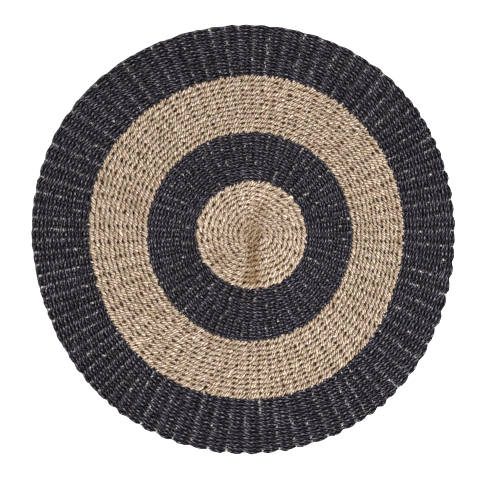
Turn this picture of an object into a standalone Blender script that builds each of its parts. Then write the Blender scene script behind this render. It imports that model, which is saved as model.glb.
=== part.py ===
"""A round rug twined from seagrass cord, in rings of natural and dyed black grass.

Rows of thick two-ply cord run round and round a start, over stiff spokes of bare grass that
fan out from it. More spokes are laid in as the rug grows, so that the ribs which they raise
stay about as far apart. The weave is one piece, flat underneath, and everything here is
worked out from the sizes below. Metres, +Z up, with the origin under the middle of the rug.
"""

import math
from collections import namedtuple

import bpy

THICKNESS = 0.015
SCALLOP = 0.004  # how far the rim draws in over each spoke
EDGE_DROP = 0.0035  # how much lower the start and the rim's shoulder are than the rows' tops
# The rim's rounded side, from its shoulder down: (distance inside the rim, height)
RIM_PROFILE = ((0.0045, THICKNESS - EDGE_DROP), (0.0, 0.5 * THICKNESS), (0.004, 0.0))
CREASE_DEGREES = 12.0  # faces that meet at more than this are shaded with an edge between them
MANY_SPOKES = 40  # past these, a row's crest has points on the spokes alone, and its grooves between

RELAX = 0.16  # the share of its unevenness that a spoke loses with each row
FORK = 0.13  # a new spoke's distance from its parent, as a share of the room there
GOLDEN_TURN = math.pi * (3.0 - math.sqrt(5.0))

UNDERSIDE_RINGS = ((0.46, 44), (0.22, 16))  # (distance from the middle, points)

# The edges between the rings of colour. Each is a circle about its own centre, since the
# weave grows unevenly, and some are pulled into low waves: (lobes, height, direction in degrees).
Edge = namedtuple("Edge", "name radius centre_x centre_y waves")
EDGES = (
    Edge("start", 0.0, 0.0208, 0.0130, ()),
    Edge("disc", 0.1515, 0.0196, 0.0103, ((2, 0.0020, -10.0), (3, 0.0015, 56.0))),
    Edge("inner_black", 0.2935, 0.0140, 0.0067, ((2, 0.0028, 85.0), (3, 0.0016, 42.0))),
    Edge(
        "natural_ring",
        0.4497,
        0.0049,
        0.0046,
        ((2, 0.0064, 91.0), (3, 0.0035, 44.0), (4, 0.0024, -39.0), (5, 0.0020, 14.0)),
    ),
    Edge(
        "rim",
        0.6060,
        0.0,
        0.0,
        ((2, 0.0047, 101.0), (3, 0.0048, 41.0), (4, 0.0035, -41.0), (5, 0.0011, 23.0)),
    ),
)

# The rings of colour, each between two edges. A row stands row_drop above the grooves beside
# it, and a rib rib_drop above the hollows between ribs. every_rows rows share one line of points,
# and where rows have no grooves, the last line lies on the edge of the colour.
Band = namedtuple("Band", "name rows colour row_drop rib_drop every_rows")
BANDS = (
    Band("disc", 11, "natural", 0.0026, 0.0010, 1),
    Band("inner_black", 15, "black", 0.0, 0.0040, 2),
    Band("natural_ring", 12, "natural", 0.0026, 0.0010, 1),
    Band("outer_black", 15, "black", 0.0, 0.0045, 2),
)

# How many spokes the rug has from a distance out, until the next line.
Spread = namedtuple("Spread", "distance spokes")
SPREADS = (
    Spread(0.000, 12),
    Spread(0.050, 24),
    Spread(0.150, 32),
    Spread(0.203, 47),
    Spread(0.240, 66),
    Spread(0.330, 70),
    Spread(0.448, 88),
)

# Colours in linear light.
Finish = namedtuple("Finish", "name colour roughness")
FINISHES = {
    "natural": Finish("natural seagrass", (0.53, 0.40, 0.26), 0.62),
    "black": Finish("dyed black seagrass", (0.030, 0.030, 0.034), 0.50),
}

Row = namedtuple("Row", "band number middle outer")
Ring = namedtuple("Ring", "angles points colour")


def clear_scene():
    for thing in list(bpy.data.objects):
        bpy.data.objects.remove(thing, do_unlink=True)


def edge_radius(edge, angle):
    """How far an edge lies from its own centre in one direction."""
    waves = sum(high * math.cos(lobes * (angle - math.radians(turn))) for lobes, high, turn in edge.waves)
    return edge.radius + waves


def place(distance, angle):
    """The point of the rug's plane that lies a mean distance out along a spoke's direction."""
    outer = next((k for k in range(1, len(EDGES)) if distance <= EDGES[k].radius), len(EDGES) - 1)
    low, high = EDGES[outer - 1], EDGES[outer]
    share = (distance - low.radius) / (high.radius - low.radius)
    radius = edge_radius(low, angle) * (1.0 - share) + edge_radius(high, angle) * share
    x = low.centre_x * (1.0 - share) + high.centre_x * share
    y = low.centre_y * (1.0 - share) + high.centre_y * share
    return x + radius * math.cos(angle), y + radius * math.sin(angle)


def make_rows():
    """The rows, from the start out, with the distances of their middle and their outer edge."""
    rows = []
    for band, low, high in zip(BANDS, EDGES, EDGES[1:]):
        pitch = (high.radius - low.radius) / band.rows
        for number in range(band.rows):
            inner = low.radius + pitch * number
            rows.append(Row(band, number, inner + pitch / 2.0, inner + pitch))
    return rows


def room_at(angles, k):
    """The angle between the neighbours of spoke k."""
    return (angles[(k + 1) % len(angles)] - angles[k - 1]) % math.tau


def split_spokes(angles, wanted):
    """Forks the spokes with the most room, until there are as many as wanted."""
    order = sorted(range(len(angles)), key=lambda k: (-round(room_at(angles, k), 2), k * GOLDEN_TURN % 1.0))
    forked = set(order[: wanted - len(angles)])
    grown = []
    for k, angle in enumerate(angles):
        aside = FORK * room_at(angles, k) if k in forked else 0.0
        grown += [angle - aside, angle + aside] if aside else [angle]
    return grown


def relaxed(angles):
    """The spokes one row further out, each a little nearer the middle of its neighbours."""
    moved = []
    for k, angle in enumerate(angles):
        before = (angle - angles[k - 1]) % math.tau
        after = (angles[(k + 1) % len(angles)] - angle) % math.tau
        moved.append(angle + RELAX * (after - before) / 2.0)
    return moved


def spokes_by_row(rows):
    """The directions of the spokes under every row."""
    first = SPREADS[0].spokes
    angles = [math.tau * (k + 0.5) / first for k in range(first)]
    found = []
    for row in rows:
        wanted = [spread.spokes for spread in SPREADS if spread.distance <= row.middle][-1]
        while len(angles) < wanted:
            angles = split_spokes(angles, min(wanted, 2 * len(angles)))
        found.append(angles)
        angles = relaxed(angles)
    return found


def with_hollows(angles):
    """The spokes' directions and those half-way between them, in order: (angle, on a spoke)."""
    both = []
    for k, angle in enumerate(angles):
        gap = (angles[(k + 1) % len(angles)] - angle) % math.tau
        both += [(angle, True), (angle + gap / 2.0, False)]
    return both


def make_ring(directions, colour, distance, height, draw_in=0.0, dip=0.0):
    """A ring of points. Over the spokes it is drawn in towards the start, and off them it dips."""
    points = []
    for angle, on_spoke in directions:
        x, y = place(distance - (draw_in if on_spoke else 0.0), angle)
        points.append((x, y, height - (0.0 if on_spoke else dip)))
    return Ring([angle for angle, _ in directions], points, colour)


def top_rings():
    """The rings of points over the top, out to the last row, and the last row's spokes."""
    rows = make_rows()
    spokes = spokes_by_row(rows)
    rings = [Ring([0.0], [(*place(0.0, 0.0), THICKNESS - EDGE_DROP)], "natural")]
    for row, angles in zip(rows, spokes):
        band = row.band
        on_top = with_hollows(angles)
        in_groove = on_top
        if len(angles) > MANY_SPOKES and band.row_drop:
            in_groove = [(angle, on_spoke) for angle, on_spoke in on_top if not on_spoke]
            on_top = [(angle, on_spoke) for angle, on_spoke in on_top if on_spoke]
        if row.number % band.every_rows == 0 and row is not rows[-1]:
            at_edge = row.number == band.rows - 1 and not band.row_drop
            distance = row.outer if at_edge else row.middle
            rings.append(make_ring(on_top, band.colour, distance, THICKNESS, dip=band.rib_drop))
        if band.row_drop:
            groove = THICKNESS - band.row_drop
            rings.append(make_ring(in_groove, band.colour, row.outer, groove, dip=band.rib_drop))
    return rings, spokes[-1]


def rim_rings(last_spokes):
    """The last row's rounded outer side, drawn in over the spokes."""
    both = with_hollows(last_spokes)
    rim = EDGES[-1].radius
    return [make_ring(both, "black", rim - tuck, height, draw_in=SCALLOP) for tuck, height in RIM_PROFILE]


def underside_rings():
    """A few rings that close the flat underside, the last of them a single point."""
    rings = []
    for distance, count in UNDERSIDE_RINGS:
        directions = [(math.tau * (k + 0.5) / count, True) for k in range(count)]
        rings.append(make_ring(directions, "black", distance, 0.0))
    rings.append(Ring([0.0], [(*place(0.0, 0.0), 0.0)], "natural"))
    return rings


def angle_after(ring, k):
    """The direction of the point after point k, counted on past a full turn."""
    turns, step = divmod(k + 1, len(ring.angles))
    return ring.angles[step] + math.tau * turns


def triangles_between(inner, outer, inner_from, outer_from):
    """Joins two rings all the way round. They may differ in their number of points."""
    counts = [len(ring.angles) for ring in (inner, outer)]
    steps = [count if count > 1 else 0 for count in counts]
    room = math.tau / max(counts)
    in_pairs = counts[0] == counts[1] and abs(inner.angles[0] - outer.angles[0]) < room / 4.0
    found = []
    i, j = 0, 0
    while i < steps[0] or j < steps[1]:
        here = (inner_from + i % counts[0], outer_from + j % counts[1])
        behind = i < j if in_pairs else angle_after(inner, i) < angle_after(outer, j)
        if i < steps[0] and (behind or j == steps[1]):
            i += 1
            found.append((*here, inner_from + i % counts[0]))
        else:
            j += 1
            found.append((*here, outer_from + j % counts[1]))
    return found


def make_material(finish):
    material = bpy.data.materials.new(finish.name)
    material.use_nodes = True
    shader = material.node_tree.nodes["Principled BSDF"]
    shader.inputs["Base Color"].default_value = (*finish.colour, 1.0)
    shader.inputs["Roughness"].default_value = finish.roughness
    shader.inputs["Metallic"].default_value = 0.0
    material.diffuse_color = (*finish.colour, 1.0)
    return material


def centred(points):
    """The points moved so that the middle of their outline lies over the origin."""
    middle_x = (min(p[0] for p in points) + max(p[0] for p in points)) / 2.0
    middle_y = (min(p[1] for p in points) + max(p[1] for p in points)) / 2.0
    return [(x - middle_x, y - middle_y, z) for x, y, z in points]


def build_rug():
    over, last_spokes = top_rings()
    rings = over + rim_rings(last_spokes) + underside_rings()
    slots = list(FINISHES)
    points, faces, face_slots = [], [], []
    starts = []
    for ring in rings:
        starts.append(len(points))
        points += ring.points
    for k in range(len(rings) - 1):
        found = triangles_between(rings[k], rings[k + 1], starts[k], starts[k + 1])
        faces += found
        face_slots += [slots.index(rings[k + 1].colour)] * len(found)

    mesh = bpy.data.meshes.new("woven_rug")
    mesh.from_pydata(centred(points), [], faces)
    for finish in FINISHES.values():
        mesh.materials.append(make_material(finish))
    mesh.polygons.foreach_set("material_index", face_slots)
    mesh.shade_smooth()
    mesh.set_sharp_from_angle(angle=math.radians(CREASE_DEGREES))
    mesh.update()
    rug = bpy.data.objects.new("woven_rug", mesh)
    bpy.context.scene.collection.objects.link(rug)
    return rug


clear_scene()
build_rug()
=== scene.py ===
# %% [markdown]
# # A round rug twined from seagrass
#
# Stiff spokes of bare grass fan out from the start of the rug, and pairs of twisted cords run
# round and round over and under them. The rug is natural grass in the middle and in one wide
# ring, and dyed black in between and outside. This lesson winds straight tubes into the cords of
# every row, adds the spokes, the start and the bare ends that show, and mixes the finishes.
#
# Everything is in metres, +Z up, in the frame of the CAD model that is loaded first.

# %% The frame
import math
from collections import namedtuple

import bpy
import numpy as np
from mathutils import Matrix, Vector


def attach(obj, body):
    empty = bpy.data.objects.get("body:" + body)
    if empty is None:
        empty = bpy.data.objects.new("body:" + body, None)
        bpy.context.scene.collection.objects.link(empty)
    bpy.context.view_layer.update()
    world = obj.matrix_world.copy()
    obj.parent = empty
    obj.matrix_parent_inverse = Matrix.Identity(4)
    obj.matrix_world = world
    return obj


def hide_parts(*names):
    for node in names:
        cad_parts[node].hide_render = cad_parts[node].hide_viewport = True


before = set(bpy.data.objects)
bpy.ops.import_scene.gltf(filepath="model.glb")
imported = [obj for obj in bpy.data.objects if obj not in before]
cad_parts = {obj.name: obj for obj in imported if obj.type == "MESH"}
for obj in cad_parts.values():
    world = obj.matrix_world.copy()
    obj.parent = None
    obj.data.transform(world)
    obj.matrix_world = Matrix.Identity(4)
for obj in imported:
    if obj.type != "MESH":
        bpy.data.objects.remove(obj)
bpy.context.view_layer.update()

# %% [markdown]
# ## The rug's layout
#
# The weaver starts a little off the middle, and each ring of colour grows a little unevenly, so
# the edges between the colours are circles about centres of their own, pulled into low waves.
# They have the same sizes as in the CAD model.

# %% Edges and bands
Edge = namedtuple("Edge", "name radius centre_x centre_y waves")  # waves: (lobes, height, degrees)
NATURAL_WAVES = ((2, 0.0064, 91.0), (3, 0.0035, 44.0), (4, 0.0024, -39.0), (5, 0.0020, 14.0))
RIM_WAVES = ((2, 0.0047, 101.0), (3, 0.0048, 41.0), (4, 0.0035, -41.0), (5, 0.0011, 23.0))
EDGES = (
    Edge("start", 0.0, 0.0208, 0.0130, ()),
    Edge("disc", 0.1515, 0.0196, 0.0103, ((2, 0.0020, -10.0), (3, 0.0015, 56.0))),
    Edge("inner_black", 0.2935, 0.0140, 0.0067, ((2, 0.0028, 85.0), (3, 0.0016, 42.0))),
    Edge("natural_ring", 0.4497, 0.0049, 0.0046, NATURAL_WAVES),
    Edge("rim", 0.6060, 0.0, 0.0, RIM_WAVES),
)
Band = namedtuple("Band", "name rows colour")
BANDS = (
    Band("disc", 11, "natural"),
    Band("inner_black", 15, "black"),
    Band("natural_ring", 12, "natural"),
    Band("outer_black", 15, "black"),
)
SCALLOP = 0.004  # how far the rim draws in over each spoke
print("edges from the middle:", ", ".join(edge.name for edge in EDGES))

# %% [markdown]
# A place on the rug is a mean distance from the start and a direction. Between two edges the
# centre and the reach change evenly, so that every row follows both.

# %% Finding a place
def edge_radius(edge, angles):
    """How far an edge lies from its own centre, in each of the directions."""
    radius = np.full_like(angles, edge.radius)
    for lobes, height, turn in edge.waves:
        radius += height * np.cos(lobes * (angles - math.radians(turn)))
    return radius


def place(distances, angles):
    """The points that lie the mean distances out, in the directions."""
    distances = np.broadcast_to(np.asarray(distances, float), angles.shape)
    radii = np.array([edge.radius for edge in EDGES])
    outer = np.clip(np.searchsorted(radii, distances), 1, len(EDGES) - 1)
    share = (distances - radii[outer - 1]) / (radii[outer] - radii[outer - 1])
    reach = np.stack([edge_radius(edge, angles) for edge in EDGES])
    middle = np.array([(edge.centre_x, edge.centre_y) for edge in EDGES])
    at = np.arange(len(angles))
    radius = reach[outer - 1, at] * (1.0 - share) + reach[outer, at] * share
    centre = middle[outer - 1] * (1.0 - share)[:, None] + middle[outer] * share[:, None]
    return centre + radius[:, None] * np.stack([np.cos(angles), np.sin(angles)], axis=1)


straight_up = np.array([math.pi / 2.0])
print(f"straight up, the disc's edge is at {place(EDGES[1].radius, straight_up)[0].round(4)}")

# %% [markdown]
# A weaver lays in new spokes as the rug grows, so that the ribs stay about as far apart. Here the
# spokes with the most room are forked, and from row to row each spoke eases towards the middle of
# its neighbours.

# %% Rows and spokes
# How many spokes there are, from how far out
SPREADS = ((0.0, 12), (0.050, 24), (0.150, 32), (0.203, 47), (0.240, 66), (0.330, 70), (0.448, 88))
RELAX = 0.16  # the share of its unevenness that a spoke loses with each row
FORK = 0.13  # a new spoke's distance from its parent, as a share of the room there
GOLDEN_TURN = math.pi * (3.0 - math.sqrt(5.0))

Row = namedtuple("Row", "band number pitch middle")


def make_rows():
    rows = []
    for band, low, high in zip(BANDS, EDGES, EDGES[1:]):
        pitch = (high.radius - low.radius) / band.rows
        for number in range(band.rows):
            rows.append(Row(band, number, pitch, low.radius + pitch * number + pitch / 2.0))
    return rows


def gaps_after(angles):
    """The angle from each spoke to the next."""
    return (np.roll(angles, -1) - angles) % math.tau


def split_spokes(angles, wanted):
    """Forks the spokes with the most room, until there are as many as wanted."""
    room = ((np.roll(angles, -1) - np.roll(angles, 1)) % math.tau).tolist()
    order = sorted(range(len(room)), key=lambda k: (-round(room[k], 2), k * GOLDEN_TURN % 1.0))
    forked = np.sort(order[: wanted - len(room)])
    aside = FORK * np.array(room)[forked]
    grown = angles.copy()
    grown[forked] += aside
    return np.insert(grown, forked, angles[forked] - aside)


def relaxed(angles):
    """The spokes one row further out, each nearer the middle of its neighbours."""
    gaps = gaps_after(angles)
    return angles + RELAX * (gaps - np.roll(gaps, 1)) / 2.0


def spokes_by_row(rows):
    first = SPREADS[0][1]
    angles = math.tau * (np.arange(first) + 0.5) / first
    found = []
    for row in rows:
        wanted = [count for distance, count in SPREADS if distance <= row.middle][-1]
        while len(angles) < wanted:
            angles = split_spokes(angles, min(wanted, 2 * len(angles)))
        found.append(angles)
        angles = relaxed(angles)
    return found


ROWS = make_rows()
SPOKES = spokes_by_row(ROWS)
print(f"{len(ROWS)} rows, {len(SPOKES[0])} spokes at the start and {len(SPOKES[-1])} at the rim")

# %% [markdown]
# The origin lies under the middle of the rug's outline, as on the CAD model: the rim's lowest and
# highest points say how far all of it is moved.

# %% The shift to the middle
rim_spokes = SPOKES[-1]
notches = place(EDGES[-1].radius - SCALLOP, rim_spokes)
crests = place(EDGES[-1].radius, rim_spokes + gaps_after(rim_spokes) / 2.0)
rim = np.concatenate([notches, crests])
MIDDLE = (rim.min(axis=0) + rim.max(axis=0)) / 2.0
print(f"the outline is {np.ptp(rim, axis=0).round(4)} m, moved by {-MIDDLE.round(4)}")

# %% [markdown]
# ## Helpers for hand work
#
# An operator acts on everything that is selected, so each piece starts from an empty selection.
# Low, smooth unevenness comes from a few waves of random phase: it closes on itself round the rug.

# %% Selecting, joining and waves
WAVES = 14  # in a smooth random function


def start_fresh():
    bpy.ops.object.select_all(action="DESELECT")


def join_pieces(pieces, name):
    """Joins finished meshes into one piece, with its faces outwards."""
    start_fresh()
    for piece in pieces:
        piece.select_set(True)
    bpy.context.view_layer.objects.active = pieces[0]
    bpy.ops.object.join()
    joined = bpy.context.object
    joined.name = name
    joined.data.name = name
    bpy.ops.object.mode_set(mode="EDIT")
    bpy.ops.mesh.select_all(action="SELECT")
    bpy.ops.mesh.remove_doubles(threshold=0.00001)
    bpy.ops.mesh.normals_make_consistent(inside=False)
    bpy.ops.object.mode_set(mode="OBJECT")
    bpy.ops.object.shade_smooth()
    return joined


def wander(random, slowest, fastest):
    """A smooth random function round the rug, of about -1 to 1, in so many waves a turn."""
    lobes = random.integers(slowest, fastest + 1, WAVES)
    phases = random.uniform(0.0, math.tau, WAVES)

    def height(angles):
        waves = np.cos(lobes[:, None] * angles[None, :] + phases[:, None])
        return waves.sum(axis=0) / math.sqrt(WAVES)

    return height


def triangles_in(piece):
    return sum(len(face.vertices) - 2 for face in piece.data.polygons)


# %% [markdown]
# ## A straight cord
#
# A cord starts as a circle that the Screw modifier repeats along X, without a turn, so that it has
# a ring of points wherever it will bend. A curve with a bevel would be quicker, but its section
# is the same all the way, and these cords flatten, lean and narrow as they go.

# %% A tube along X
AROUND = 8  # points in a ring


def make_tube(rings, points=AROUND, closed=False):
    """A straight tube of radius 1 along X, with a ring at every unit, open or drawn to two tips."""
    start_fresh()
    bpy.ops.mesh.primitive_circle_add(vertices=points, radius=1.0, rotation=(0.0, math.pi / 2.0, 0.0))
    tube = bpy.context.object
    bpy.ops.object.transform_apply()
    screw = tube.modifiers.new("length", "SCREW")
    screw.axis = "X"
    screw.angle = 0.0
    screw.screw_offset = float(rings)
    screw.steps = rings
    bpy.ops.object.modifier_apply(modifier="length")
    if closed:
        bpy.ops.object.mode_set(mode="EDIT")
        bpy.ops.mesh.select_mode(type="EDGE")
        bpy.ops.mesh.select_all(action="DESELECT")
        bpy.ops.mesh.select_non_manifold()
        bpy.ops.mesh.extrude_region_move()
        bpy.ops.mesh.merge(type="COLLAPSE")
        bpy.ops.object.mode_set(mode="OBJECT")
    return tube


def numbers_of(collection, name, kind=np.int32, size=1):
    """One property of every item, as an array."""
    values = np.empty(len(collection) * size, kind)
    collection.foreach_get(name, values)
    return values


def points_of(piece):
    return numbers_of(piece.data.vertices, "co", np.float32, 3).reshape(-1, 3).astype(float)


def move_points(piece, points):
    piece.data.vertices.foreach_set("co", points.astype(np.float32).ravel())
    piece.data.update()


sample = make_tube(5, closed=True)
print(f"a tube of 5 units has {len(sample.data.polygons)} faces")
bpy.data.objects.remove(sample, do_unlink=True)

# %% [markdown]
# ## How a pair of cords lies
#
# In twining, a row is two cords that wind round each other. The first cord of a pair passes over
# on the spokes and under half-way between them, and the second the other way about.
#
# The soft natural cords are pinched over a spoke and spread between two, which leaves the small
# pits that line up along the spokes, dark in their own shadow and with painted shade. The dyed cords
# are beaten close together and sink between the spokes, which raises ribs. Their strands are wound
# the other way and less steeply, so that rubbed ones, with a painted highlight on them, look like
# slim slanting dashes.

# %% The weave of each ring
Weave = namedtuple(
    "Weave", "lean over under thick rise squareness slack stroke strands hand furrow wider lower"
)
# lean: how far a cord swings in and out between the crossings. over, under: half its width there.
# All three are shares of the row's pitch. thick: half its height. rise: below 1 it stays high on
# its way down. squareness: 2 is a round section. slack: how unevenly it is beaten in.
# stroke: from one strand on it to the next. strands: how many go round it. hand: which way they
# wind. furrow: how much the furrows between them show. wider, lower: the second cord, against the
# first
WEAVES = {
    "disc": Weave(0.06, 0.29, 0.64, 0.0036, 0.50, 2.5, 1.6, 0.0105, 4, -1.0, 0.95, 1.9, 0.0010),
    "inner_black": Weave(0.10, 0.45, 0.60, 0.0031, 0.95, 2.2, 0.9, 0.0155, 4, 1.0, 1.0, 1.0, 0.0040),
    "natural_ring": Weave(0.12, 0.26, 0.64, 0.0036, 0.52, 2.5, 1.5, 0.0088, 3, -1.0, 1.1, 1.9, 0.0010),
    "outer_black": Weave(0.10, 0.45, 0.60, 0.0032, 1.00, 2.2, 0.9, 0.0165, 4, 1.0, 1.0, 1.0, 0.0046),
}
TOP = 0.0150
EDGE_LEAN = 0.25  # of a natural cord that pokes out over a black one
RIM_LEAN = 0.14
FIRST_ROW = 2  # the start covers the rows inside this one


def leans(index):
    """How far a row's cords swing, towards the start and away from it."""
    row = ROWS[index]
    lean = WEAVES[row.band.name].lean
    soft = row.band.colour == "natural"
    inward = EDGE_LEAN if soft and row.number == 0 and index > 0 else lean
    outward = EDGE_LEAN if soft and row.number == row.band.rows - 1 else lean
    return inward, RIM_LEAN if index == len(ROWS) - 1 else outward


print("leans of the last rows:", [leans(len(ROWS) - 1 - k) for k in range(3)])

# %% [markdown]
# The rows are never quite true. The line between two of them wanders, and both read it from the
# same wave. A whole ring of colour drifts as well, most in its middle, and at the edge of a
# colour the soft natural cord swells over the dyed one.

# %% Borders between the rows
WOBBLE = 0.10  # as a share of the row's pitch
DRIFT = {"disc": 0.42, "inner_black": 0.30, "natural_ring": 0.16, "outer_black": 0.30}
BORDERS = [wander(np.random.default_rng(500 + k), 5, 12 + 3 * k) for k in range(len(ROWS) + 1)]
DRIFTS = {band.name: wander(np.random.default_rng(560 + k), 1, 5) for k, band in enumerate(BANDS)}
SWELL = 0.0013
START_EDGE = 0.0030  # how far the first row closes in round the start


def border_shift(index, angles):
    """How far the line inside a row lies outside its true place."""
    if index == len(ROWS):
        return WOBBLE * ROWS[-1].pitch * BORDERS[index](angles)
    row = ROWS[index]
    most = DRIFT[row.band.name] * math.sin(math.pi * row.number / row.band.rows)
    drift = most * DRIFTS[row.band.name](angles)
    swell = 0.0
    if index and row.number == 0:
        swell = SWELL if row.band.colour == "black" else -SWELL
    elif index == FIRST_ROW:
        swell = -START_EDGE
    return (WOBBLE * BORDERS[index](angles) + drift) * row.pitch + swell


def borders_at(index, angles):
    """The two borders of a row, as distances from its middle."""
    half = ROWS[index].pitch / 2.0
    return border_shift(index, angles) - half, border_shift(index + 1, angles) + half


inner, outer = borders_at(FIRST_ROW, straight_up)
print(f"straight up, row {FIRST_ROW} is {1000.0 * (outer - inner)[0]:.1f} mm wide")

# %% [markdown]
# ## Twining
#
# Places along a row are counted in half-turns of its pair, two from each spoke to the next: the
# even ones are spokes, and the odd ones lie half-way. A cord gets a few rings of points in every
# half-turn, and fewer in the hidden half, which saves triangles.

# %% Counting the half-turns
RINGS = {"natural": (7, 4), "black": (6, 2)}  # in the half that shows and in the hidden one


def crossings(index):
    """Where one cord of a row's pair lies over the other: on the spokes and half-way between."""
    angles = SPOKES[index]
    return np.stack([angles, angles + gaps_after(angles) / 2.0], axis=1).ravel()


def half_turns(index):
    """The rings of one of a row's cords, counted in half-turns."""
    shown, hidden = RINGS[ROWS[index].band.colour]
    over = np.linspace(-0.5, 0.5, shown, endpoint=False)
    under = np.linspace(0.5, 1.5, hidden, endpoint=False)
    pairs = np.arange(0, 2 * len(SPOKES[index]), 2)
    return (pairs[:, None] + np.concatenate([over, under])[None, :]).ravel()


def direction_of(turned, places):
    """The directions of what is counted in half-turns."""
    turned = turned % len(places)
    k = np.floor(turned).astype(int) % len(places)
    return places[k] + (turned % 1.0) * gaps_after(places)[k]


print(f"{len(half_turns(len(ROWS) - 1))} rings in a cord of the last row")

# %% [markdown]
# Going round, a cord swings out and in as it rises and falls. Where it is over, it is as wide as
# its weave says, and on its way down it fills what the other cord leaves. Hand work is uneven, so
# each stitch is a little longer, wider or slimmer than the next. The draws are seeded, so that
# the rug comes out the same each time.

# %% The path of a cord
QUICK_SWING = 1.22  # nearer 1, a cord swings out more quickly over a spoke
OVERLAP = 0.03  # how far cords sink into each other where they cross, as a share of the pitch
PINCH = 4  # higher, a cord is narrow for a shorter way
WIDTH_LIMITS = (0.20, 0.60)
# How much stitches differ. beat and shift grow with the slack, height is in metres
Uneven = namedtuple("Uneven", "beat lean width shift thick height")
UNEVEN = Uneven(0.09, 0.20, 0.20, 0.07, 0.06, 0.0006)

Path = namedtuple("Path", "turned angle middle half_width thick centre high")


def cord_path(index, second, rings, random):
    """Where a row's cord lies at its rings, and half its width and height there."""
    row, weave, places = ROWS[index], WEAVES[ROWS[index].band.name], crossings(index)
    count = len(places)

    def varied(spread):
        """A value for every ring, which changes from stitch to stitch."""
        values = random.normal(0.0, spread, count)
        return np.interp(rings % count, np.arange(count + 1), np.append(values, values[0]))

    swing, height = -np.sin(math.pi * rings), np.cos(math.pi * rings)
    swing *= QUICK_SWING / np.sqrt(swing**2 + QUICK_SWING**2 - 1.0)
    turned = rings + second + varied(UNEVEN.beat * weave.slack)
    angle = direction_of(turned, places)
    inner, outer = borders_at(index, angle)
    pitch = outer - inner
    inward, outward = leans(index)
    lean = np.where(swing > 0.0, outward, inward) * (1.0 + varied(UNEVEN.lean))
    between = np.maximum(lean, 0.5 - lean) + OVERLAP
    over = weave.over * (weave.wider if second else 1.0)
    over = np.clip(over * (1.0 + varied(UNEVEN.width)), *WIDTH_LIMITS)
    rising, sinking = (over - between) * height**PINCH, (between - weave.under) * height
    width = between + np.where(height > 0.0, rising, sinking)
    shift = varied(UNEVEN.shift * weave.slack) * np.maximum(height, 0.0)
    middle = row.middle + (inner + outer) / 2.0 + (swing * lean + shift) * pitch

    thick = weave.thick * (1.0 + varied(UNEVEN.thick))
    crest = TOP - np.abs(varied(UNEVEN.height)) - thick - (weave.lower if second else 0.0)
    high = ((1.0 + height) / 2.0) ** weave.rise
    return Path(turned, angle, middle, width * pitch, thick, thick + (crest - thick) * high, high)


rings = half_turns(FIRST_ROW)
path = cord_path(FIRST_ROW, 0, rings, np.random.default_rng(1000 + 2 * FIRST_ROW))
widths = 2000.0 * path.half_width
print(f"a first cord is {widths.min():.1f} to {widths.max():.1f} mm wide")

# %% [markdown]
# The rim is scalloped: the last row is drawn in over each spoke, more on one side of the rug than
# on the other, and unevenly besides.

# %% The rim
NOTCH = 0.0068  # how far the last row is drawn in over a spoke
NOTCH_MEAN, NOTCH_SWING = 0.75, 0.40  # how that differs round the rug, as shares
NOTCH_SIDE = -35.0  # the direction in degrees where they are deepest
NOTCH_SHARPNESS = 1.8
RIM_UNEVENNESS = 0.0016
RIM_LOBES = wander(np.random.default_rng(600), 8, 90)


def drawn_in(distance, angle, turned):
    """The distances of the last row's points, held inside the rim."""
    deep = NOTCH * (NOTCH_MEAN + NOTCH_SWING * np.cos(angle - math.radians(NOTCH_SIDE)))
    on_spoke = (1.0 + np.cos(math.tau * (turned / 2.0 % 1.0))) / 2.0
    rim = EDGES[-1].radius - deep * on_spoke**NOTCH_SHARPNESS
    return np.minimum(distance, rim - RIM_UNEVENNESS * RIM_LOBES(angle))


print(f"notches are {1000.0 * NOTCH * (NOTCH_MEAN + NOTCH_SWING):.1f} mm deep at the most")

# %% [markdown]
# The grass of the start was darker, and a brown stain runs from it across the disc. Every point
# is marked with its share of it. A mask could be painted by hand, but soft patches placed by
# numbers are easy to move.

# %% The brown stain
START = place(np.zeros(1), np.zeros(1))[0] - MIDDLE
STAINS = (  # x and y from the start, half the width and height, strength
    (-0.010, -0.070, 0.110, 0.080, 0.15),
    (0.001, 0.003, 0.056, 0.058, 0.36),
    (0.001, 0.006, 0.031, 0.030, 0.9),
    (0.003, -0.036, 0.022, 0.030, 1.0),
    (0.005, -0.074, 0.022, 0.028, 1.0),
    (0.002, -0.122, 0.032, 0.032, 0.9),
    (0.026, 0.070, 0.020, 0.028, 0.55),
    (-0.090, -0.068, 0.030, 0.024, 0.5),
)


def stain_at(x, y):
    found = np.zeros(len(x))
    for aside, up, half_width, half_height, strength in STAINS:
        across, along = (x - START[0] - aside) / half_width, (y - START[1] - up) / half_height
        found = np.maximum(found, strength * np.exp(-((across**2 + along**2) ** 1.5)))
    return found


print(f"the stain on the start is {stain_at(*START[:, None])[0]:.2f}")

# %% [markdown]
# Each cord is itself laid up from twisted strands, too small to model. They are drawn in the
# finish, from a UV map that counts them: U along the cord, and V round it, so that a line where
# U + V stays the same follows one strand. A face that crosses the map's seam, underneath, counts
# on past a full turn.

# %% Numbering the strands
STRAND_UNEVENNESS = 0.35
SEAM_SHIFT = 0.001  # holds the points on the seam itself on one side of it


def map_strands(piece, along, strands):
    """Maps a straight tube. along counts strands at its points, and so many go round it."""
    flat = points_of(piece)
    mesh = piece.data
    corners = numbers_of(mesh.loops, "vertex_index")
    starts = numbers_of(mesh.polygons, "loop_start")
    face = np.searchsorted(starts, np.arange(len(corners)), side="right") - 1
    around = np.arctan2(flat[:, 2], flat[:, 1]) + math.pi / 2.0 + SEAM_SHIFT
    around = (around % math.tau / math.tau)[corners]
    highest = np.maximum.reduceat(around, starts)[face]
    around = np.where(highest - around > 0.5, around + 1.0, around)
    uv = mesh.uv_layers.new(name="strand")
    both = np.stack([along[corners], around * strands], axis=1)
    uv.data.foreach_set("uv", both.astype(np.float32).ravel())


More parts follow.
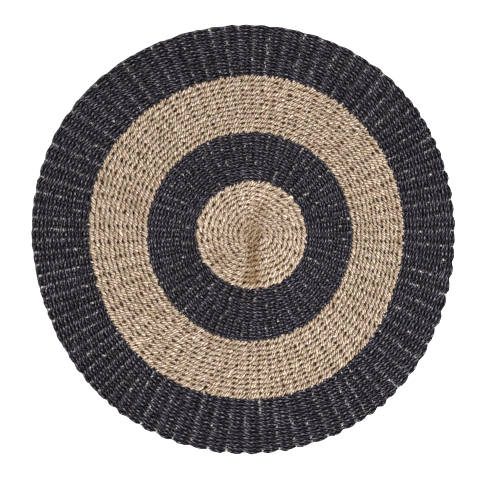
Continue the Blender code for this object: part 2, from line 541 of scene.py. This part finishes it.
def strands_along(line, stroke, random):
    """The strands counted along a closed line, about a stroke apart and uneven."""
    steps = np.linalg.norm(np.diff(np.vstack([line, line[:1]]), axis=0), axis=1)
    strands = max(2, round(steps.sum() / stroke))
    along = np.concatenate([[0.0], np.cumsum(steps)]) / steps.sum()
    uneven = wander(random, 5, max(8, strands // 5))
    return along * strands + STRAND_UNEVENNESS * (uneven(along * math.tau) - uneven(np.zeros(1)))


line = np.column_stack([place(path.middle, path.angle), path.centre])
counts = strands_along(line, WEAVES["disc"].stroke, np.random.default_rng(1))
print(f"{counts[-1]:.0f} strands along a cord of the first row that shows")

# %% [markdown]
# Marks on the points tell the finish which cord they are on, the cast of colour of the grass
# there, how high they are, how near the crest of a stitch, how much the furrows between strands
# show, and how stained they are.
#
# A cord is then a straight tube whose rings are carried out to its path. Its section is between
# round and square, as cords are where they press on each other.

# %% One cord of a pair
def mark(piece, **marks):
    """Keeps values of the points as attributes."""
    count = len(piece.data.vertices)
    for name, values in marks.items():
        layer = piece.data.attributes.new(name, "FLOAT", "POINT")
        layer.data.foreach_set("value", np.broadcast_to(np.asarray(values, np.float32), count))


def wind_cord(index, second):
    """One of the two cords of a row, bent round the rug over and under the spokes."""
    weave = WEAVES[ROWS[index].band.name]
    random = np.random.default_rng(1000 + 2 * index + second)
    rings = half_turns(index)
    cord = make_tube(len(rings))
    flat = points_of(cord)
    at = np.round(flat[:, 0]).astype(int)
    ring = at % len(rings)
    path = cord_path(index, second, rings, random)
    angle = path.angle[ring]

    line = np.column_stack([place(path.middle, path.angle), path.centre])
    along = strands_along(line, weave.stroke, random)
    map_strands(cord, along[at], weave.strands * weave.hand)
    section, n = np.arctan2(flat[:, 2], flat[:, 1]), weave.squareness
    square = (np.abs(np.cos(section)) ** n + np.abs(np.sin(section)) ** n) ** (-1.0 / n)
    across, up = np.cos(section) * square, np.sin(section) * square
    distance = path.middle[ring] + across * path.half_width[ring]
    if index == len(ROWS) - 1:
        distance = drawn_in(distance, angle, path.turned[ring])
    z = np.maximum(path.centre[ring] + up * path.thick[ring], 0.0)
    x, y = (place(distance, angle) - MIDDLE).T
    move_points(cord, np.stack([x, y, z], axis=1))

    cast = wander(random, 4, max(10, len(crossings(index))))
    # level, the height, sets painted shade low in the weave, and crest sets wear and a painted
    # highlight
    mark(cord, cord=10.0 * index + second, cast=cast(angle), level=z, furrow=weave.furrow)
    mark(cord, crest=up * path.high[ring], stain=stain_at(x, y))
    return cord


sample = wind_cord(FIRST_ROW, 0)
print(f"one cord has {triangles_in(sample)} triangles")
bpy.data.objects.remove(sample, do_unlink=True)

# %% [markdown]
# The first cords of all the rows in a ring of colour become one piece, and the second cords
# another.

# %% Winding all the rows
row_pieces = {}
for band in BANDS:
    indices = [k for k, row in enumerate(ROWS) if row.band is band and k >= FIRST_ROW]
    for second, which in enumerate(("first", "second")):
        cords = [wind_cord(k, second) for k in indices]
        piece = join_pieces(cords, f"{band.name}_{which}_cords")
        row_pieces[band.name, which] = piece
        print(f"{piece.name}: {triangles_in(piece)} triangles")

# %% [markdown]
# ## The spokes
#
# A spoke is a bundle of bare grass that runs from the start to the rim between the two cords of
# every row. Spokes are split in two wherever there is room, so each stretch with the same number
# of spokes is one straight tube, copied and bent for each.

# %% Bending copies of a tube
SPOKE_HALF_WIDTH, SPOKE_HALF_HEIGHT = 0.0032, 0.0020


def copied(piece):
    """A copy with a mesh of its own."""
    twin = piece.copy()
    twin.data = piece.data.copy()
    bpy.context.collection.objects.link(twin)
    return twin


def lay_strand(strand, line, half_width, half_height):
    """Bends a tube along a line with a point for each ring. Its sections stay upright."""
    flat = points_of(strand)
    ahead = np.gradient(line, axis=0)
    ahead /= np.linalg.norm(ahead, axis=1)[:, None]
    side = np.cross(ahead, (0.0, 0.0, 1.0))
    side /= np.linalg.norm(side, axis=1)[:, None]
    upward = np.cross(side, ahead)
    at = np.round(flat[:, 0]).astype(int)
    across, up = flat[:, 1] * half_width, flat[:, 2] * half_height
    offset = side[at] * across[:, None] + upward[at] * up[:, None]
    move_points(strand, line[at] + offset)


print(f"a spoke is {2000.0 * SPOKE_HALF_WIDTH:.1f} mm wide")

# %% [markdown]
# A stretch starts in the row before its first one, at the spoke that it forks from, and runs on
# into the row after its last, so that no gap shows. Spokes show a little in the pits. Their colour
# is painted shade, darker still under dyed cords.

# %% Laying the spokes
SPOKE_HEIGHT = 0.0076
SPOKE_END = 0.004  # how far a spoke ends inside the drawn-in rim


def stretches():
    """The runs of rows that have the same number of spokes, as first and last row."""
    counts = [len(angles) for angles in SPOKES]
    changes = [k for k in range(FIRST_ROW + 1, len(ROWS)) if counts[k] != counts[k - 1]]
    return list(zip([FIRST_ROW] + changes, [k - 1 for k in changes] + [len(ROWS) - 1]))


def nearest(angles, angle):
    away = (angles - angle + math.pi) % math.tau - math.pi
    return angles[np.argmin(np.abs(away))]


def spoke_line(first, last, k):
    """A spoke's points, from the row before its stretch out to the row after it."""
    turns = [nearest(SPOKES[first - 1], SPOKES[first][k])]
    turns += [SPOKES[row][k] for row in range(first, last + 1)]
    distances = [row.middle for row in ROWS[first - 1 : last + 2]]
    if last + 1 < len(ROWS):
        turns.append(nearest(SPOKES[last + 1], turns[-1]))
    else:
        distances[-1] = EDGES[-1].radius - SCALLOP - SPOKE_END
    ground = place(np.array(distances), np.array(turns)) - MIDDLE
    return np.column_stack([ground, np.full(len(ground), SPOKE_HEIGHT)])


spokes = []
for first, last in stretches():
    lines = [spoke_line(first, last, k) for k in range(len(SPOKES[first]))]
    pattern = make_tube(len(lines[0]) - 1, points=6, closed=True)
    rows_under = first - 1 + np.round(points_of(pattern)[:, 0]).astype(int)
    # spokes under dyed cords get a darker colour, as painted shade
    mark(pattern, pale=[float(ROWS[row].band.colour == "natural") for row in rows_under])
    for line in lines:
        spoke = copied(pattern)
        lay_strand(spoke, line, SPOKE_HALF_WIDTH, SPOKE_HALF_HEIGHT)
        spokes.append(spoke)
    bpy.data.objects.remove(pattern, do_unlink=True)
spoke_piece = join_pieces(spokes, "spokes")
print(f"{len(spokes)} stretches of spoke, {triangles_in(spoke_piece)} triangles")

# %% [markdown]
# ## The start
#
# The weave starts with cords that cross over each other. Eight thick dark ones lie side by side,
# seven slim paler ones lie aslant over them, and all their ends dip under the first rows. They
# are copies of one cord with closed tips, each laid along a wavy line of its own.

# %% Crossing cords
START_TILT, START_REACH, START_POINTS = 40.0, 0.0300, 28
START_CENTRE = START + np.array([0.001, 0.003])
ROUNDNESS = 0.9  # at 1, the ends of a layer lie on a circle
END_UNEVENNESS = 0.0010
STRAY_LENGTH, STRAY_STEP, RISE_LENGTH = 0.0075, 2.4, 0.0042
HEIGHT_UNEVENNESS, END_DIP, FLOOR_GAP = 0.0002, 0.0050, 0.0004
STRANDS_PER_RING, STRANDS_ROUND = 0.42, -2
START_LIGHT = 0.0008  # the start lies open, so it is shaded as if it lay higher
# turn: degrees away from the tilt, give or take the spread. lift: how far a cord rises and sinks.
# waves: how far it strays sideways
Layer = namedtuple(
    "Layer", "cords turn spread spacing half_width half_height height lift waves stain furrow"
)
START_LAYERS = (
    # the thick cords lie low, so their dark colour is their stain with painted shade over it
    Layer(8, 97.0, 2.0, 0.0070, 0.0046, 0.0036, 0.0078, 0.0005, 0.0006, 0.95, 0.9),
    Layer(7, 0.0, 6.0, 0.0068, 0.0022, 0.0023, 0.0111, 0.0013, 0.0022, 0.25, 0.8),
)


def start_line(layer, k, random):
    """The points of a crossing cord, which rises and dips over the ones below it."""
    tilt = math.radians(START_TILT + layer.turn + random.normal(0.0, layer.spread))
    ahead = np.array([math.sin(tilt), math.cos(tilt)])
    across = np.array([math.cos(tilt), -math.sin(tilt)])
    aside = (k - (layer.cords - 1) / 2.0) * layer.spacing
    reach = math.sqrt(START_REACH**2 - (ROUNDNESS * aside) ** 2)
    reach += random.normal(0.0, END_UNEVENNESS)
    along = np.linspace(-reach, reach, START_POINTS)
    ground = START_CENTRE + aside * across + along[:, None] * ahead
    ground += layer.waves * np.sin(along / STRAY_LENGTH + STRAY_STEP * k)[:, None] * across
    height = layer.height + layer.lift * np.cos(along / RISE_LENGTH + random.uniform(0.0, math.tau))
    height += random.normal(0.0, HEIGHT_UNEVENNESS) - END_DIP * (np.abs(along) / reach) ** 6
    return np.column_stack([ground, np.maximum(height, layer.half_height + FLOOR_GAP)])


pattern = make_tube(START_POINTS - 1, closed=True)
map_strands(pattern, points_of(pattern)[:, 0] * STRANDS_PER_RING, STRANDS_ROUND)
random = np.random.default_rng(77)
crossing = []
for layer in START_LAYERS:
    for k in range(layer.cords):
        cord = copied(pattern)
        lay_strand(cord, start_line(layer, k, random), layer.half_width, layer.half_height)
        level = points_of(cord)[:, 2] + START_LIGHT
        mark(cord, cord=3000.0 + k + layer.turn, cast=0.0, level=level, crest=0.0)
        mark(cord, furrow=layer.furrow, stain=layer.stain)
        crossing.append(cord)
bpy.data.objects.remove(pattern, do_unlink=True)
start_piece = join_pieces(crossing, "start_cords")
print(f"{start_piece.name}: {triangles_in(start_piece)} triangles")

# %% [markdown]
# ## Bare ends
#
# The spokes are not dyed. Here and there in the black rings a bit of one stands up between two
# rows, on the crest of a rib, and shows as a pale speck. Where a natural ring ends, short ends of
# its cord poke out over the dyed row beside it.

# %% Specks and poking ends
SPECK_HEIGHTS = np.array([0.0100, 0.0138, 0.0146, 0.0147, 0.0139, 0.0100])
SPECK_LIFT = 0.0003
CHANCES = {"inner_black": (0.17, 0.17), "outer_black": (0.30, 0.16)}  # at the inner and outer side
SPECK_HALF_LENGTH = (0.0013, 0.0028)
SPECK_STRAY, SPECK_SLANT, SPECK_SHIFT = 0.0016, (-0.0012, 0.0010), 0.0008
EDGE_CHANCE = 0.7
EDGE_INSIDE, EDGE_OUTSIDE = 0.0035, (0.0010, 0.0036)
EDGE_STRAY, EDGE_SLANT = 0.003, (-0.6, 0.5)


def outside(index, angle):
    """How far out the line between a row and the next one lies."""
    return ROWS[index].middle + borders_at(index, np.array([angle]))[1][0]


def humped(distances, angles, random):
    """The points of an end that comes up between two rows and goes down again."""
    heights = SPECK_HEIGHTS + random.normal(0.0, SPECK_LIFT)
    return np.column_stack([place(distances, angles) - MIDDLE, heights])


def speck_lines(random):
    """Bits of spoke on the ribs of the black rings."""
    steps = len(SPECK_HEIGHTS)
    for index, row in enumerate(ROWS[:-1]):
        if row.band.colour != "black":
            continue
        low, high = CHANCES[row.band.name]
        chance = low + (high - low) * row.number / row.band.rows
        for angle in SPOKES[index]:
            if random.random() < chance:
                half = random.uniform(*SPECK_HALF_LENGTH)
                border = outside(index, angle)
                aside = random.normal(0.0, SPECK_STRAY)
                aside = aside + random.normal(*SPECK_SLANT) * np.linspace(-1.0, 1.0, steps)
                middle = border + random.normal(0.0, SPECK_SHIFT)
                distances = middle + np.linspace(-half, half, steps)
                yield humped(distances, angle + aside / border, random)


def edge_lines(random):
    """Short ends of natural cord that poke out over the dyed row beside them."""
    for index, row in enumerate(ROWS[:-1]):
        if row.band is ROWS[index + 1].band or row.band.colour == "black":
            continue
        spokes_here = SPOKES[index]
        places = np.concatenate([spokes_here, spokes_here + 0.5 * gaps_after(spokes_here)])
        for angle in places[random.random(len(places)) < EDGE_CHANCE]:
            border = outside(index, angle)
            reach = np.linspace(-EDGE_INSIDE, random.uniform(*EDGE_OUTSIDE), len(SPECK_HEIGHTS))
            aside = random.normal(0.0, EDGE_STRAY) + random.normal(*EDGE_SLANT) * reach
            yield humped(border + reach, angle + aside / border, random)


print("chances of a speck:", CHANCES)

# %% [markdown]
# At the rim the spokes are turned back over the last row and tucked in, and about half of them
# show. Every end is a copy of one short strand, and each is a little wider or paler than the next.

# %% Turned-back ends, and the pieces
TUCKS = np.array([0.0095, 0.0030, 0.0002, 0.0012, 0.0045, 0.0085])  # inside the drawn-in rim
TUCK_HEIGHTS = (0.0036, 0.0028, 0.0070, 0.0122, 0.0148, 0.0118)
BACK_RIM = EDGES[-1].radius - 0.0054
BACK_CHANCE, BACK_SLANT, BACK_LENGTH = 0.5, 0.0015, (0.85, 1.15)
END_HALF_HEIGHT, END_WIDTHS = 0.0011, (0.6, 1.25)


def turn_back_lines(random):
    """Ends of spokes that come up round the last row and go down into it."""
    for angle in SPOKES[-1]:
        if random.random() < BACK_CHANCE:
            inside = TUCKS * random.uniform(*BACK_LENGTH)
            slant = random.normal(0.0, BACK_SLANT) / BACK_RIM
            turned = angle + slant * np.linspace(-1.0, 1.0, len(TUCKS))
            ground = place(BACK_RIM - inside, turned) - MIDDLE
            yield np.column_stack([ground, TUCK_HEIGHTS])


ENDS = {  # how they lie, half their width, and a power: the higher, the fewer are pale
    "specks": (speck_lines, 0.0018, 1.5),
    "edge_ends": (edge_lines, 0.0017, 0.6),
    "turned_back_ends": (turn_back_lines, 0.0024, 1.5),
}
pattern = make_tube(len(SPECK_HEIGHTS) - 1, points=6, closed=True)
random = np.random.default_rng(91)
end_pieces = []
for name, (lines, half_width, power) in ENDS.items():
    strands = []
    for line in lines(random):
        strand = copied(pattern)
        lay_strand(strand, line, half_width * random.uniform(*END_WIDTHS), END_HALF_HEIGHT)
        mark(strand, pale=random.random() ** power)
        strands.append(strand)
    end_pieces.append(join_pieces(strands, name))
    print(f"{len(strands)} {name}, {triangles_in(end_pieces[-1])} triangles")
bpy.data.objects.remove(pattern, do_unlink=True)

# %% [markdown]
# ## Finishes
#
# A finish is a tree of nodes. Short helpers add a node and hand back its output, so that a line
# reads like a formula.

# %% Helpers for nodes
def fill(tree, inputs, values):
    """Links a value that is a socket, and sets any other."""
    for key, value in values.items():
        if isinstance(value, bpy.types.NodeSocket):
            tree.links.new(value, inputs[key])
        else:
            inputs[key].default_value = value


def node(tree, kind, values=None, **settings):
    made = tree.nodes.new("ShaderNode" + kind)
    for name, value in settings.items():
        setattr(made, name, value)
    fill(tree, made.inputs, values or {})
    return made


def attribute(tree, name):
    return node(tree, "Attribute", attribute_name=name).outputs["Fac"]


def mixed(tree, share, first, second):
    return node(tree, "Mix", {0: share, 6: first, 7: second}, data_type="RGBA").outputs[2]


def ranged(tree, value, low, high, to_low=0.0, to_high=1.0):
    values = {"Value": value, "From Min": low, "From Max": high, "To Min": to_low, "To Max": to_high}
    return node(tree, "MapRange", values).outputs["Result"]


def counted(tree, operation, *values):
    return node(tree, "Math", dict(enumerate(values)), operation=operation).outputs[0]


def times(tree, first, second):
    return counted(tree, "MULTIPLY", first, second)


def noise(tree, place_in, scale, detail, **values):
    values = {"Vector": place_in, "Scale": scale, "Detail": detail, **values}
    return node(tree, "TexNoise", values).outputs["Fac"]


def new_material(name):
    """A material, its tree and its shader."""
    material = bpy.data.materials.new(name)
    material.use_nodes = True
    return material, material.node_tree, material.node_tree.nodes["Principled BSDF"]


print("an input takes a number, a colour or a link")

# %% [markdown]
# One node group makes the colour of twisted grass from the strands that the UV map counts. Every
# strand has three random values, a ridge in the middle, furrows at its sides, and fine streaks.

# %% The strand at a place
def strand_parts(tree):
    """How near a ridge a place is, its strand's random values, and the streaks."""
    uv = node(tree, "SeparateXYZ", {0: node(tree, "UVMap", uv_map="strand").outputs["UV"]}).outputs
    cord = attribute(tree, "cord")
    place_on = counted(tree, "ADD", uv[0], uv[1])
    aside = counted(tree, "MULTIPLY_ADD", counted(tree, "FRACT", place_on), 2.0, -1.0)
    furrow = times(tree, attribute(tree, "furrow"), times(tree, aside, aside))
    ridge = counted(tree, "SUBTRACT", 1.0, furrow)
    named = node(tree, "CombineXYZ", {0: counted(tree, "FLOOR", place_on), 1: cord}).outputs[0]
    chance = node(tree, "TexWhiteNoise", {"Vector": named}, noise_dimensions="2D")
    chances = node(tree, "SeparateColor", {0: chance.outputs["Color"]}).outputs
    across, along = times(tree, place_on, 3.0), times(tree, uv[1], 4.0)
    fibres = node(tree, "CombineXYZ", {0: across, 1: along, 2: cord}).outputs[0]
    streak = noise(tree, fibres, 1.0, 2.0, Roughness=0.6)
    return ridge, chances, ranged(tree, streak, 0.36, 0.64)


# %% [markdown]
# A strand takes a shade of its own between a dark and a light one, with grain over the streaks,
# and leans to one of two casts. Wide patches have faded towards the dark shade, and the stain
# goes over everything.

# %% Its own colour
OWN_SHADE = 0.52  # how much of the shade is the strand's own, against its streaks
GRAIN_SCALE, FADE_SCALE = 330.0, 9.0
MEAN_CAST = 0.8


def own_colour(tree, given, chances, streak):
    """The colour of the grass before light and wear, and how stained it is."""
    where = node(tree, "TexCoord").outputs["Object"]
    grain = ranged(tree, noise(tree, where, GRAIN_SCALE, 1.0), 0.35, 0.65, -0.5, 0.5)
    streaks = times(tree, streak, 1.0 - OWN_SHADE)
    shade = counted(tree, "MULTIPLY_ADD", chances[0], OWN_SHADE, streaks)
    shade = counted(tree, "MULTIPLY_ADD", grain, given["Grain"], shade)
    colour = mixed(tree, shade, given["Dark"], given["Light"])
    cast = counted(tree, "SUBTRACT", attribute(tree, "cast"), MEAN_CAST)
    cast = counted(tree, "MULTIPLY_ADD", chances[1], 2.0 * MEAN_CAST, cast)
    for name, nearly, fully in (("First cast", 0.1, 1.3), ("Second cast", -0.1, -1.3)):
        share = times(tree, ranged(tree, cast, nearly, fully), given["Cast"])
        colour = mixed(tree, share, colour, given[name])
    faded = ranged(tree, noise(tree, where, FADE_SCALE, 2.0), 0.62, 0.38, 0.0, given["Fade"])
    colour = mixed(tree, faded, colour, given["Dark"])
    stain = times(tree, attribute(tree, "stain"), ranged(tree, chances[2], -1.6, 0.6))
    return mixed(tree, stain, colour, given["Stained"]), stain


# %% [markdown]
# The grooves between strands are darkened with painted shade, and so is what lies low in the weave,
# where less light gets: from Low up to High the painted shade lifts, and Bite sinks the furrows.
# Crests are rubbed and carry a painted highlight, on the ridges of some strands more than of others.

# %% Painted shade, wear and painted highlight
def painted_shade_wear_and_highlight(tree, given, colour, ridge, chances, stain):
    foot = counted(tree, "SUBTRACT", given["Crown"], 0.50)
    groove_shade = times(tree, ranged(tree, ridge, given["Crown"], foot), given["Groove shade"])
    bitten = times(tree, counted(tree, "SUBTRACT", ridge, 0.6), given["Bite"])
    level = counted(tree, "ADD", attribute(tree, "level"), bitten)
    # hidden is how much painted shade a place gets, in the grooves between strands and low in the
    # weave
    hidden = counted(tree, "MAXIMUM", groove_shade, ranged(tree, level, given["High"], given["Low"]))
    colour = mixed(tree, ranged(tree, hidden, 0.0, 0.55), colour, given["Shade"])
    colour = mixed(tree, ranged(tree, hidden, 0.45, 1.0), colour, given["Deep shade"])
    # the crests get wear and a painted highlight, more on the ridges of some strands
    rubbed_and_lit = ranged(tree, attribute(tree, "crest"), 0.82, 1.0)
    rubbed_and_lit = times(tree, rubbed_and_lit, ranged(tree, ridge, 0.2, 0.8))
    rubbed_and_lit = times(tree, rubbed_and_lit, ranged(tree, chances[2], 0.0, 0.9))
    rubbed_and_lit = times(tree, rubbed_and_lit, counted(tree, "MULTIPLY_ADD", stain, -0.6, 1.0))
    return mixed(tree, times(tree, rubbed_and_lit, given["Wear and highlight"]), colour, given["Worn and highlight"])


# %% [markdown]
# The group takes the colours and strengths as inputs, so that natural and dyed grass can share
# it, and gives a colour and a height for the bump.

# %% A group for twisted grass
SOCKETS = {
    "Color": ("Dark", "Light", "First cast", "Second cast", "Stained", "Shade", "Deep shade", "Worn and highlight"),
    "Float": ("Cast", "Fade", "Grain", "Crown", "Groove shade", "Low", "High", "Bite", "Wear and highlight"),
}
STREAK_HEIGHT = 0.12  # against 1 for a strand


def grass_group():
    tree = bpy.data.node_groups.new("twisted_grass", "ShaderNodeTree")
    for kind, names in SOCKETS.items():
        for name in names:
            tree.interface.new_socket(name, in_out="INPUT", socket_type="NodeSocket" + kind)
    tree.interface.new_socket("Color", in_out="OUTPUT", socket_type="NodeSocketColor")
    tree.interface.new_socket("Height", in_out="OUTPUT", socket_type="NodeSocketFloat")
    given = tree.nodes.new("NodeGroupInput").outputs
    ridge, chances, streak = strand_parts(tree)
    colour, stain = own_colour(tree, given, chances, streak)
    colour = painted_shade_wear_and_highlight(tree, given, colour, ridge, chances, stain)
    height = counted(tree, "MULTIPLY_ADD", streak, STREAK_HEIGHT, ridge)
    fill(tree, tree.nodes.new("NodeGroupOutput").inputs, {"Color": colour, "Height": height})
    return tree


GRASS = grass_group()
print(f"{GRASS.name} has {len(GRASS.nodes)} nodes")

# %% [markdown]
# Both finishes place that group with colours of their own, with painted shade in the grooves and low
# places. Undyed grass is dull, with a low, broad shine and a painted highlight on its crests. The
# dyed grass is a soft blue-black that has rubbed to grey on the ribs, with a painted highlight there
# as well.

# %% Natural and dyed grass
NATURAL = {
    "Dark": (0.19, 0.110, 0.053, 1.0),
    "Light": (0.96, 0.80, 0.65, 1.0),
    "First cast": (0.66, 0.47, 0.37, 1.0),
    "Second cast": (0.52, 0.41, 0.22, 1.0),
    "Stained": (0.24, 0.130, 0.050, 1.0),
    # the two shade colours next are painted shade, and the crest colour after them a painted highlight
    "Shade": (0.25, 0.125, 0.043, 1.0),
    "Deep shade": (0.036, 0.013, 0.003, 1.0),
    "Worn and highlight": (1.0, 0.90, 0.80, 1.0),
    **{"Cast": 0.6, "Fade": 0.12, "Grain": 1.0, "Crown": 0.60, "Groove shade": 0.85},
    **{"Low": 0.0079, "High": 0.0117, "Bite": 0.0056, "Wear and highlight": 0.55},
}
DYED = {
    "Dark": (0.0110, 0.0088, 0.0125, 1.0),
    "Light": (0.365, 0.325, 0.38, 1.0),
    "First cast": (0.024, 0.030, 0.062, 1.0),
    "Second cast": (0.058, 0.032, 0.036, 1.0),
    "Stained": (0.02, 0.02, 0.02, 1.0),
    # the two shade colours next are painted shade, and the crest colour after them grey wear with a
    # painted highlight
    "Shade": (0.012, 0.010, 0.0135, 1.0),
    "Deep shade": (0.002, 0.002, 0.003, 1.0),
    "Worn and highlight": (0.52, 0.49, 0.54, 1.0),
    **{"Cast": 0.75, "Fade": 0.30, "Grain": 0.9, "Crown": 1.0, "Groove shade": 1.0},
    **{"Low": 0.0065, "High": 0.0121, "Bite": 0.0030, "Wear and highlight": 0.65},
}
FINISHES = {  # name, roughness, shine and inputs
    "natural": ("natural_grass", 0.62, 0.15, NATURAL),
    "black": ("dyed_black_grass", 0.50, 0.09, DYED),
}
STRAND_BUMP = 0.0022  # metres


def finish_shader(tree, shader, colour, bump, roughness, shine):
    """Links the colour and the bump, and sets what is the same all over."""
    values = {"Base Color": colour, "Normal": node(tree, "Bump", bump).outputs["Normal"]}
    fill(tree, shader.inputs, {**values, "Roughness": roughness, "Specular IOR Level": shine})


MATERIALS = {}
for key, (name, roughness, shine, inputs) in FINISHES.items():
    material, tree, shader = new_material(name)
    grass = node(tree, "Group", inputs, node_tree=GRASS).outputs
    bump = {"Height": grass["Height"], "Strength": 1.0, "Distance": STRAND_BUMP}
    finish_shader(tree, shader, grass["Color"], bump, roughness, shine)
    MATERIALS[key] = material
    print(f"{name}: roughness {roughness}")

# %% [markdown]
# Bare spokes and ends have no twist to draw. They are undyed grass between two colours, mixed by the
# mark of each point, which is its paleness on the ends and painted shade on the spokes, and by fine
# patches. The spokes are coloured far darker than the ends, as painted shade.

# %% Bare grass
BARE_ROUGHNESS, BARE_SHINE = 0.68, 0.12
BARE_FINISHES = {
    # the spoke colours are painted shade: the same bare grass as the ends, far darker
    "spoke": ("shaded_spoke_grass", (0.008, 0.005, 0.004, 1.0), (0.095, 0.044, 0.014, 1.0)),
    "poking": ("natural_cord_ends", (0.40, 0.28, 0.19, 1.0), (0.84, 0.72, 0.58, 1.0)),
    "end": ("bare_spoke_grass", (0.10, 0.088, 0.080, 1.0), (0.74, 0.68, 0.61, 1.0)),
}
for key, (name, dark, pale) in BARE_FINISHES.items():
    material, tree, shader = new_material(name)
    patch = noise(tree, node(tree, "TexCoord").outputs["Object"], 160.0, 2.0)
    share = times(tree, ranged(tree, patch, 0.35, 0.65), 0.4)
    share = counted(tree, "MULTIPLY_ADD", attribute(tree, "pale"), 0.6, share)
    bump = {"Height": patch, "Strength": 0.6, "Distance": 0.0006}
    finish_shader(tree, shader, mixed(tree, share, dark, pale), bump, BARE_ROUGHNESS, BARE_SHINE)
    MATERIALS[key] = material
    print(f"{name}: {len(tree.nodes)} nodes")

# %% [markdown]
# ## Dressing the pieces
#
# Every piece gets its finish, rides on the rug's one body and stands for the woven rug of the CAD
# model. The bare ends and spokes are natural grass too.


def dress(piece, finish, slot):
    piece.data.materials.append(MATERIALS[finish])
    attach(piece, "root")
    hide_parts("woven_rug")


for band in BANDS:
    for which in ("first", "second"):
        dress(row_pieces[band.name, which], band.colour, band.colour)
dress(spoke_piece, "spoke", "natural")
dress(start_piece, "natural", "natural")
for piece in end_pieces:
    dress(piece, "poking" if piece.name == "edge_ends" else "end", "natural")
print(f"{len(row_pieces) + len(end_pieces) + 2} pieces are dressed")

# %% [markdown]
# The rug is a flat, laid thing. Each ring of colour is a strip as wide as the ring and as long as
# its middle line, and the disc is a round one. For each ring, the pieces woven in with its first
# cords are gathered: the second cords and the spokes, the start for the disc, and all the bare ends
# for the black rings.

# %% Gathering what is woven in with each ring
for band, low, high in zip(BANDS, EDGES, EDGES[1:]):
    with_pieces = [row_pieces[band.name, "second"], spoke_piece]
    if low.radius:
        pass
    else:
        with_pieces.append(start_piece)
    if band.colour == "black":
        with_pieces += end_pieces

# %% [markdown]
# ## Floor, light and camera
#
# The pale floor belongs to the stage and not to the rug. It glows a little, so that it stays
# evenly bright, and lies a hair lower than the rug, because two faces in one place would flicker.

# %% The floor
start_fresh()
bpy.ops.mesh.primitive_plane_add(size=12.0, location=(0.0, 0.0, -0.0002))
floor = bpy.context.object
floor.name = "floor"
paint, tree, shader = new_material("pale_floor")
fill(tree, shader.inputs, {"Base Color": (0.88, 0.88, 0.88, 1.0), "Roughness": 0.9})
fill(tree, shader.inputs, {"Emission Color": (1.0, 1.0, 1.0, 1.0), "Emission Strength": 0.9})
floor.data.materials.append(paint)
print(f"the floor is {floor.dimensions.x:.0f} m wide")

# %% [markdown]
# The light is soft: a white world, a wide sun from the right, which shades the stitches, and a
# large cool disc lower down at the front right. No film curve changes the colours.

# %% The light
world = bpy.data.worlds.new("studio")
bpy.context.scene.world = world
world.use_nodes = True
around = {"Color": (1.0, 1.0, 1.0, 1.0), "Strength": 0.55}
fill(world.node_tree, world.node_tree.nodes["Background"].inputs, around)


def add_light(name, kind, location, turn, **settings):
    data = bpy.data.lights.new(name, kind)
    for setting, value in settings.items():
        setattr(data, setting, value)
    light = bpy.data.objects.new(name, data)
    light.location, light.rotation_euler = location, turn
    bpy.context.scene.collection.objects.link(light)
    print(f"{name}: {data.energy}")


SUN_TURN = (math.radians(12.0), math.radians(38.0), 0.0)
add_light("key", "SUN", (0.0, 0.0, 0.0), SUN_TURN, energy=2.2, angle=math.radians(12.0))
WINDOW = Vector((2.0, -1.7, 1.9))
facing = WINDOW.to_track_quat("Z", "Y").to_euler()
cool = (0.90, 0.95, 1.0)
add_light("window", "AREA", WINDOW, facing, shape="DISK", size=1.6, energy=85.0, color=cool)
bpy.context.scene.view_settings.view_transform = "Standard"

# %% [markdown]
# The camera looks straight down through a long lens, from high up, so that the rug isn't
# foreshortened. Its height follows from the width that it should take in.

# %% The camera
VIEW_WIDTH, VIEW_CENTRE = 1.357, (-0.0099, -0.0014)
camera = bpy.data.cameras.new("camera")
camera.lens = 100.0
eye = bpy.data.objects.new("camera", camera)
eye.location = (*VIEW_CENTRE, VIEW_WIDTH * camera.lens / camera.sensor_width)
bpy.context.scene.collection.objects.link(eye)
bpy.context.scene.camera = eye
print(f"the camera is {eye.location.z:.2f} m up")
